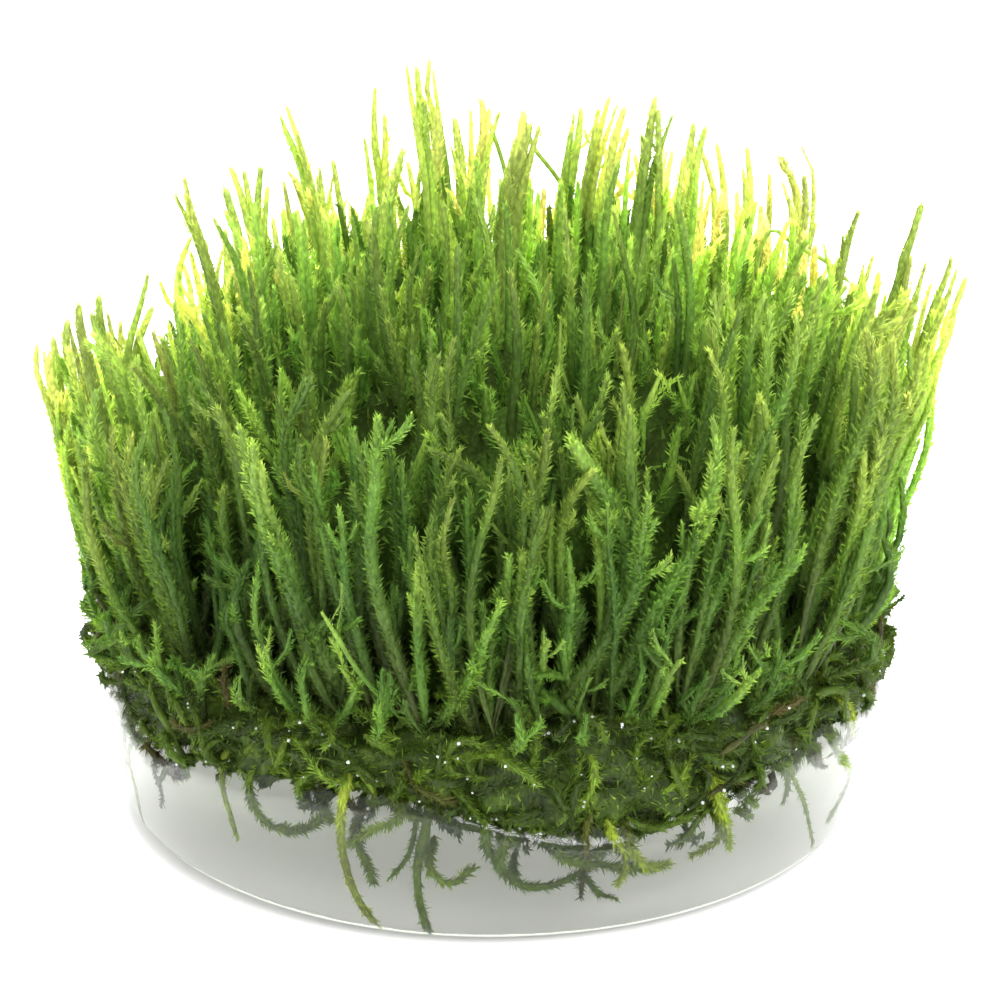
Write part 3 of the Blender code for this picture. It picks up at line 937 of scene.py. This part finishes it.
def wander(start, heading, length, rng, top, inset):
    """A curling line that stays inside the tangle."""
    point = np.array(start)
    direction = np.array(heading) / np.linalg.norm(heading)
    curl = rng.normal(0, 1, 3)
    points = [point.copy()]
    for _ in range(int(length / WANDER_STEP)):
        curl += rng.normal(0, 0.6, 3)
        curl *= 0.92
        direction = direction + curl * 0.22
        out = np.hypot(point[0], point[1])
        reach = strand_reach(point, inset)
        if out > reach * 0.98:
            direction[:2] -= point[:2] / out * HOMING
        if point[2] < tangle_floor(point[0], point[1]) + 0.6 * MM:
            direction[2] += FLOATING
        if point[2] > top:
            direction[2] -= FLOATING
        direction /= np.linalg.norm(direction)
        point = point + direction * WANDER_STEP
        out = np.hypot(point[0], point[1])
        if out > reach:
            point[:2] *= reach / out
        points.append(point.copy())
    return np.array(points)


def grow_strand(growth, axis, radius, colour, leafiness, rng):
    """An old stem: a lumpy tube, blunt at its end, with the leaves that are left on it."""
    shares = np.linspace(0, 1, max(6, int(axis.length / (0.85 * MM))))
    ends = np.minimum(1, np.minimum(shares, 1 - shares) * axis.length / (radius * 1.6)) ** 0.5
    lumps = rng.uniform(0.82, 1.18, len(shares))
    radii = radius * ends * lumps * (1 - 0.3 * shares)
    patch = patches(axis.at(shares * axis.length)[0], 2 * MM)
    colours = colour[None] * (1 + 0.5 * patch)[:, None] * rng.uniform(0.55, 0.8, (len(shares), 1))
    add_tube(growth, axis, shares, 5, radii, colours)
    count = int(axis.length * STRAND_LEAVES_PER_METRE * leafiness)
    if count < 2:
        return
    share = np.sort(rng.random(count))
    length = rng.uniform(0.35, 0.72, count) * MM * (0.7 + 0.3 * leafiness)
    light = rng.uniform(0.8, 1.3, count) * (1 + 0.5 * np.interp(share, shares, patch))
    angle = np.full(count, STRAND_LEAF_ANGLE)
    offset = np.interp(share, shares, radii) * FOOT_SUNK
    add_leaves(growth, axis, share * axis.length, length, length * 0.26, angle, offset,
               colour[None] * light[:, None], rng, False)


def tangle_colour(tone):
    return ramp(np.array([tone]), TANGLE_STEPS, TANGLE_COLOURS)[0]


def strand_colour(tone, rng):
    """Mostly the tangle's own colour, and now and then browned."""
    colour = tangle_colour(tone)
    if rng.random() < BROWN_SHARE:
        return colour + (OLD_BROWN - colour) * rng.uniform(0.4, 0.9)
    return colour


def core_rings():
    """Points of the tangle's matted middle: a lumpy disc, from its top down to its underside."""
    points = []
    for row in range(CORE_RINGS):
        around = math.pi * row / (CORE_RINGS - 1)
        out = CORE_RADIUS * max(0.02, math.sin(around)) ** 0.15
        height = math.cos(around)
        for angle in circle(CORE_SECTORS):
            x, y = out * math.cos(angle), out * math.sin(angle)
            low = tangle_floor(x, y) + 0.7 * MM
            z = (CORE_TOP + low) / 2 + (CORE_TOP - low) / 2 * height
            place = Vector((x, y, z))
            rough = noise.noise(place * 300) + noise.noise(place * 650) * 0.9
            scale = 1 + rough * 1.3 * MM / out
            lift = rough * 0.5 * MM * (1 if height > 0 else -1)
            points.append((x * scale, y * scale, z + lift))
    return np.array(points)


def build_core(growth, rng):
    """The tangle's matted middle, its colour darkened as painted shade, with a fuzz of small leaves all
    over it.
    """
    points = core_rings()
    triangles = ring_triangles(CORE_RINGS, CORE_SECTORS)
    tones = 0.2 + 0.5 * patches(points, 1.4 * MM) + rng.uniform(0, 0.25, len(points))
    growth.add(points, triangles, ramp(tones, TANGLE_STEPS, TANGLE_COLOURS) * CORE_SHADE)
    middles = points[triangles].mean(axis=1)
    weights = np.where(np.hypot(middles[:, 0], middles[:, 1]) > FUZZ_FROM_RADIUS, 1, 0.06)
    sizes = rng.uniform(0.35, 0.75, FUZZ_LEAVES) * MM
    colours = ramp(rng.normal(0.3, 0.2, FUZZ_LEAVES), TANGLE_STEPS, TANGLE_COLOURS)
    scatter_leaves(growth, points, triangles, weights, sizes, colours, 1.1, rng)


def ball(subdivisions):
    """The points and triangles of a ball of radius 1."""
    shape = bmesh.new()
    bmesh.ops.create_icosphere(shape, subdivisions=subdivisions, radius=1)
    shape.verts.index_update()
    points = np.array([corner.co for corner in shape.verts])
    triangles = np.array([[corner.index for corner in face.verts] for face in shape.faces])
    shape.free()
    return points, triangles


def add_glint_drops(drops, axis, radius, rng):
    """Small drops of water on a strand's outer side, part white so they show as painted glints."""
    points, triangles = ball(1)
    for _ in range(rng.integers(0, 3)):
        point, _, _, _ = axis.place(rng.uniform(0.1, 0.9))
        outward = np.array([point[0], point[1], 0]) / np.hypot(point[0], point[1])
        outward = outward + rng.normal(0, 0.4, 3)
        outward /= np.linalg.norm(outward)
        size = rng.uniform(0.07, 0.17) * MM
        centre = point + outward * (radius + 0.5 * size)
        drops.add(centre + points * size, triangles, np.ones(points.shape))


def build_tangle(finish, glint_drop_look):
    rng = np.random.default_rng(31)
    growth = Growth()
    drops = Growth()
    build_core(growth, rng)
    for index in range(WALL_STRANDS + DEEP_STRANDS + TOP_STRANDS):
        angle = rng.uniform(0, 2 * math.pi)
        inset = rng.uniform(-0.3, 0.7) * MM
        if index < WALL_STRANDS:
            low = tangle_floor(math.cos(angle), math.sin(angle))
            height = rng.uniform(low + 0.8 * MM, 17.4 * MM)
            out = gel_wall(height) - 1.3 * MM
            top = 17.6 * MM
        elif index < WALL_STRANDS + DEEP_STRANDS:
            out = 31 * MM * math.sqrt(rng.uniform(0.1, 1))
            height = rng.uniform(9.5, 11.5) * MM
            top = 12.0 * MM
        else:
            out = rng.uniform(29, 34.8) * MM
            height = rng.uniform(17.6, 19.0) * MM
            top = 19.2 * MM
            inset = rng.uniform(-0.7, 0.4) * MM
        start = round_place(out, angle, height)
        around = np.array([-math.sin(angle), math.cos(angle), 0]) * rng.choice([-1, 1])
        heading = around * rng.uniform(0, 1.5) + rng.normal(0, 0.7, 3)
        bare = rng.random() < BARE_SHARE and index < WALL_STRANDS
        length = rng.uniform(6, 14) * MM if bare else rng.uniform(4, 9) * MM
        axis = Axis(wander(start, heading, length, rng, top, inset))
        radius = rng.uniform(0.22, 0.42) * MM
        tone = rng.uniform(0.15, 0.55) if rng.random() < 0.85 else rng.uniform(0.45, 0.75)
        leafiness = rng.uniform(0.2, 0.45) if bare else rng.uniform(0.8, 1.2)
        grow_strand(growth, axis, radius, strand_colour(tone, rng), leafiness, rng)
        add_glint_drops(drops, axis, radius, rng)
    piece = growth.build("tangled_stems", finish)
    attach(piece, "root")
    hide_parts("stem_mat")
    wet = drops.build("glinting_water_drops", glint_drop_look)
    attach(wet, "root")


# strands that hang into the gel in the photograph: pixels along each, its depth behind the gel's
# wall in mm, how thick it looks through the gel, as a radius in mm, how fresh it is, and how leafy
FRONT_STRANDS = [
    ([(143, 755), (150, 785), (156, 812), (163, 836)], 1.8, 0.6, 0.9, 0.2),
    ([(222, 765), (230, 800), (241, 838)], 1, 0.45, 0.85, 0.3),
    ([(250, 785), (268, 820), (298, 828), (330, 812)], 1, 0.45, 0.7, 1),
    ([(345, 788), (344, 850), (358, 895), (382, 924)], 0.9, 0.55, 0.95, 0.5),
    ([(398, 818), (372, 828), (350, 842)], 1.2, 0.4, 0.75, 0.9),
    ([(358, 838), (369, 862), (375, 880)], 1.2, 0.5, 0.55, 1),
    ([(418, 818), (410, 850), (392, 872)], 3.5, 0.35, 0.6, 0.4),
    ([(428, 820), (419, 868), (422, 900), (432, 925)], 2.2, 0.66, 0.6, 0.5),
    ([(432, 870), (448, 882), (474, 866)], 1, 0.42, 0.75, 0.9),
    ([(485, 825), (490, 852), (498, 862)], 1, 0.6, 0.5, 1),
    ([(505, 840), (502, 870), (516, 880)], 1, 0.45, 0.55, 1),
    ([(516, 878), (548, 880), (572, 870), (588, 860)], 2.6, 0.45, 0.5, 0.8),
    ([(560, 855), (600, 862), (640, 866), (664, 862)], 1.2, 0.45, 0.6, 1),
    ([(612, 835), (626, 858), (616, 884)], 0.9, 0.5, 0.9, 0.7),
    ([(630, 846), (648, 866), (668, 862)], 0.9, 0.45, 0.9, 1),
    ([(716, 790), (724, 825), (727, 844)], 0.9, 0.6, 0.85, 1),
    ([(716, 838), (704, 846), (690, 854)], 0.9, 0.4, 0.85, 0.8),
    ([(578, 850), (584, 872), (598, 888), (612, 892)], 3, 0.42, 0.5, 0.5),
    ([(780, 760), (795, 795), (803, 842)], 1.6, 0.34, 0.75, 0.3),
    ([(830, 745), (842, 778), (822, 818)], 1, 0.4, 0.75, 0.9),
    ([(840, 700), (850, 714), (848, 732)], 0.8, 0.38, 0.95, 0.8),
]
SIDE_STRANDS = 18  # round the sides and back that the photograph doesn't show
SIDE_STRAND_TOP = 12.5 * MM
GEL_SLIMS = 0.7  # a strand's own radius, for each mm of how thick it looks


def build_trailing(finish):
    rng = np.random.default_rng(47)
    growth = Growth()
    for pixels, depth, radius, tone, leafiness in FRONT_STRANDS:
        points = [seen_in_wall(pixel, depth * MM) for pixel in pixels]
        root = points[0] * np.array([0.92, 0.92, 1]) + np.array([0, 0, 2.5 * MM])
        axis = Axis(curve_through([root, *points], 10))
        grow_strand(growth, axis, radius * GEL_SLIMS * MM, tangle_colour(tone), leafiness * 2, rng)
    for index in range(SIDE_STRANDS):
        angle = math.radians(-30 + 240 * (index + rng.uniform(0.2, 0.8)) / SIDE_STRANDS)
        sideways = np.array([-math.sin(angle), math.cos(angle), 0])
        low = rng.uniform(2.5, 8) * MM
        inset = rng.uniform(1, 3) * MM
        sway = rng.normal(0, 2.2 * MM)
        line = []
        for share in np.linspace(0, 1, 20):
            height = SIDE_STRAND_TOP + (low - SIDE_STRAND_TOP) * share
            place = round_place(gel_wall(height) - inset, angle, height)
            line.append(place + sideways * sway * share**1.5)
        colour = strand_colour(rng.uniform(0.5, 1), rng)
        grow_strand(growth, Axis(np.array(line)), rng.uniform(0.25, 0.6) * MM, colour, 0.6, rng)
    piece = growth.build("trailing_strands", finish)
    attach(piece, "root")
    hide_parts("stem_mat")


# ---------------------------------------------------------------- gel

GEL_RIM_ROUND = 0.6 * MM
GEL_SKIN = 0.16 * MM  # how far the wavy wall stays inside the solid
GEL_RETREAT = 4.6 * MM  # how far it lies behind the moss, above the tangle's lower edge
GEL_SECTORS = 200
GEL_FILLET_STEPS = 8
GEL_WALL_STEPS = 24
GEL_RIM_STEPS = 4
GEL_TOP_STEPS = 26
GEL_DIP = 0.4 * MM  # how far its top sags inside the rim


def gel_outline():
    """(radius, height) from the middle of the foot, round the side, to the middle of the top."""
    points = [(share * (GEL_FOOT_RADIUS - GEL_FILLET), 0.0) for share in (0.3, 0.7)]
    for i in range(GEL_FILLET_STEPS + 1):
        angle = math.pi / 2 * i / GEL_FILLET_STEPS
        out = GEL_FOOT_RADIUS - GEL_FILLET + GEL_FILLET * math.sin(angle)
        points.append((out, GEL_FILLET * (1 - math.cos(angle))))
    for i in range(1, GEL_WALL_STEPS + 1):
        height = GEL_FILLET + (GEL_TOP - GEL_RIM_ROUND - GEL_FILLET) * i / GEL_WALL_STEPS
        points.append((gel_wall(height), height))
    for i in range(1, GEL_RIM_STEPS + 1):
        angle = math.pi / 2 * i / GEL_RIM_STEPS
        out = GEL_RADIUS - GEL_RIM_ROUND * (1 - math.cos(angle))
        points.append((out, GEL_TOP - GEL_RIM_ROUND * (1 - math.sin(angle))))
    for i in range(1, GEL_TOP_STEPS):
        points.append(((GEL_RADIUS - GEL_RIM_ROUND) * (1 - i / GEL_TOP_STEPS), GEL_TOP))
    return points


def build_gel(finish):
    outline = gel_outline()
    points = []
    for out, height in outline:
        for angle in circle(GEL_SECTORS):
            x, y = math.cos(angle), math.sin(angle)
            upper = rise(height, 7 * MM, 4 * MM)
            swell = 0.08 * MM * noise.noise(Vector((x * 2.2, y * 2.2, height * 260)))
            swell += 0.16 * MM * upper * noise.noise(Vector((x * out, y * out, height)) * 520)
            swell *= min(1, height / (2 * MM)) * min(1, out / (20 * MM))
            dip = 0.0
            if height >= GEL_TOP - 1e-6:
                inside = min(1, (GEL_RADIUS - out) / (2.5 * MM))
                rough = noise.noise(Vector((x * out, y * out, 0)) * 330)
                dip = inside * (0.5 * MM * rough - GEL_DIP)
            floor = tangle_floor(x * GEL_RADIUS, y * GEL_RADIUS)
            risen = rise(height - floor, 1.2 * MM, 4.5 * MM)
            retreat = GEL_RETREAT * risen * risen * (3 - 2 * risen) * out / GEL_RADIUS
            radius = out - GEL_SKIN + swell - retreat
            points.append((x * radius, y * radius, height + dip))
    last = (len(outline) - 1) * GEL_SECTORS
    foot_centre = len(points)
    top_centre = foot_centre + 1
    points += [(0, 0, 0), (0, 0, GEL_TOP - GEL_DIP)]
    faces = []
    neighbours = [(k, (k + 1) % GEL_SECTORS) for k in range(GEL_SECTORS)]
    for low in range(0, last, GEL_SECTORS):
        high = low + GEL_SECTORS
        faces += [(low + k, low + after, high + after, high + k) for k, after in neighbours]
    for k, after in neighbours:
        faces += [(foot_centre, after, k), (top_centre, last + k, last + after)]
    mesh = bpy.data.meshes.new("clear_gel")
    mesh.from_pydata(points, [], faces)
    mesh.validate()
    mesh.shade_smooth()
    mesh.materials.append(finish)
    piece = add_object("clear_gel", mesh)
    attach(piece, "root")
    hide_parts("gel_disc")


# ---------------------------------------------------------------- materials


class Look:
    """A material, made node by node."""

    def __init__(self, name):
        self.material = bpy.data.materials.new(name)
        self.material.use_nodes = True
        self.tree = self.material.node_tree
        self.tree.nodes.clear()

    def fill(self, made, inputs):
        """Sets a node's inputs, each to a value or to another node's output."""
        for name, value in inputs.items():
            if isinstance(value, bpy.types.NodeSocket):
                self.tree.links.new(value, made.inputs[name])
            else:
                made.inputs[name].default_value = value

    def add(self, kind, output, inputs):
        """Adds a node, and gives its output of this name."""
        made = self.tree.nodes.new(kind)
        self.fill(made, inputs)
        return made.outputs[output]

    def product(self, first, second):
        """Two colours multiplied."""
        made = self.tree.nodes.new("ShaderNodeMix")
        made.data_type = "RGBA"
        made.blend_type = "MULTIPLY"
        self.fill(made, {"Factor": 1.0, "A": first, "B": second})
        return made.outputs["Result"]

    def finish(self, inputs):
        self.fill(self.tree.nodes.new("ShaderNodeOutputMaterial"), inputs)
        return self.material


PRESSED_LEAVES_PER_METRE = 3000
PRESSED_LEAF_STRETCH = 0.55  # below 1, they are longer along the height than across


def grown_finish(name, roughness, specular, coat, translucent_share, translucent_gain):
    """Leaf or stem: its own tint with painted shade and light on its pressed leaves, and light shining
    through it.
    """
    look = Look(name)
    tint = look.tree.nodes.new("ShaderNodeVertexColor")
    tint.layer_name = "tint"
    drawn_out = look.add("ShaderNodeMapping", "Vector", {
        "Vector": look.add("ShaderNodeTexCoord", "Object", {}),
        "Scale": (1, 1, PRESSED_LEAF_STRETCH),
    })
    from_middle = look.add("ShaderNodeTexVoronoi", "Distance", {
        "Vector": drawn_out, "Scale": PRESSED_LEAVES_PER_METRE,
    })
    # painted shade towards the edges of each pressed leaf and painted light at its middle; the same
    # pattern makes the bump
    leaf_relief_and_shade = look.add("ShaderNodeMapRange", "Result", {
        "Value": from_middle, "From Min": 0.1, "From Max": 0.8, "To Min": 1.28, "To Max": 0.74,
    })
    tint_with_painted_shade = look.product(tint.outputs["Color"], leaf_relief_and_shade)
    shader = look.add("ShaderNodeBsdfPrincipled", "BSDF", {
        "Base Color": tint_with_painted_shade,
        "Roughness": roughness,
        "Specular IOR Level": specular,
        "Coat Weight": coat,
        "Coat Roughness": 0.08,
        "Normal": look.add("ShaderNodeBump", "Normal", {
            "Height": leaf_relief_and_shade, "Strength": 0.9, "Distance": 0.1 * MM,
        }),
    })
    # a gain above 1 brightens the light shining through into a painted glow
    through = look.add("ShaderNodeBsdfTranslucent", "BSDF", {
        "Color": look.product(tint_with_painted_shade, (*translucent_gain, 1)),
    })
    both = look.add("ShaderNodeMixShader", "Shader", {"Fac": translucent_share, 1: shader, 2: through})
    return look.finish({"Surface": both})


def glint_drop_finish():
    look = Look("water_drop")
    # part white rather than clear: water drops with painted glints
    shader = look.add("ShaderNodeBsdfPrincipled", "BSDF", {
        "Base Color": (0.95, 0.98, 0.95, 1),
        "Roughness": 0.05,
        "IOR": 1.33,
        "Transmission Weight": 0.7,
    })
    return look.finish({"Surface": shader})


def gel_finish():
    """Clear gel, rippled, that takes a little colour from the light that goes through it."""
    look = Look("clear_gel")
    ripple = look.add("ShaderNodeTexNoise", "Fac", {
        "Vector": look.add("ShaderNodeTexCoord", "Object", {}), "Scale": 380, "Detail": 2,
    })
    shader = look.add("ShaderNodeBsdfPrincipled", "BSDF", {
        "Base Color": (0.99, 0.99, 0.985, 1),
        "Roughness": 0.12,
        "IOR": 1.34,
        "Transmission Weight": 1.0,
        "Normal": look.add("ShaderNodeBump", "Normal", {
            "Height": ripple, "Strength": 0.15, "Distance": 0.3 * MM,
        }),
    })
    absorbed = look.add("ShaderNodeVolumeAbsorption", "Volume", {
        "Color": (0.81, 0.86, 0.72, 1), "Density": 15,
    })
    return look.finish({"Surface": shader, "Volume": absorbed})


# ---------------------------------------------------------------- stage and light

FLOOR_SIZE = 3.0
FLOOR_HEIGHT = 0.05 * MM  # just above the gel's wet underside, so no film of air mirrors the tangle
FLOOR_GLOW = 0.22  # a lit table: it lightens the gel from below
SKY_STRENGTH = 1.5
# each lamp's place and size, in metres, and its power in watts
SOFT_LIGHTS = {
    "back_light": ((0.10, 0.45, 0.42), 0.35, 5.5),
    "top_light": ((0.0, 0.08, 0.55), 0.35, 6.0),
    "front_light": ((0.20, -0.45, 0.45), 0.30, 4.0),
}
LIT_PLACE = Vector((0, 0, 0.03))


def build_stage():
    bpy.ops.mesh.primitive_plane_add(size=FLOOR_SIZE, location=(0, 0, FLOOR_HEIGHT))
    floor = bpy.context.active_object
    floor.name = "floor"
    look = Look("pale_floor")
    shader = look.add("ShaderNodeBsdfPrincipled", "BSDF", {
        "Base Color": (0.93, 0.93, 0.93, 1),
        "Roughness": 0.9,
        "Specular IOR Level": 0.1,
        "Emission Color": (1, 0.99, 0.96, 1),
        "Emission Strength": FLOOR_GLOW,
    })
    floor.data.materials.append(look.finish({"Surface": shader}))
    world = bpy.data.worlds.new("studio")
    world.use_nodes = True
    sky = world.node_tree.nodes["Background"]
    sky.inputs["Color"].default_value = (1, 1, 1, 1)
    sky.inputs["Strength"].default_value = SKY_STRENGTH
    bpy.context.scene.world = world
    bpy.context.scene.view_settings.view_transform = "Standard"


def build_lights():
    for name, (place, size, power) in SOFT_LIGHTS.items():
        data = bpy.data.lights.new(name, "AREA")
        data.size = size
        data.energy = power
        lamp = add_object(name, data)
        lamp.location = place
        lamp.rotation_euler = (LIT_PLACE - Vector(place)).to_track_quat("-Z", "Y").to_euler()


# ---------------------------------------------------------------- build

build_camera()
build_stage()
build_lights()
leaf_finish = grown_finish("moss_leaf", 0.55, 0.3, 0.0, 0.5, (1.22, 1.10, 0.80))
deep_finish = grown_finish("deep_moss", 0.9, 0.0, 0.0, 0.3, (1.2, 1.1, 0.6))
stem_finish = grown_finish("old_stem", 0.5, 0.12, 0.06, 0.3, (1.2, 1.1, 0.6))
build_shoots(leaf_finish, deep_finish)
build_tangle(stem_finish, glint_drop_finish())
build_trailing(stem_finish)
build_gel(gel_finish())
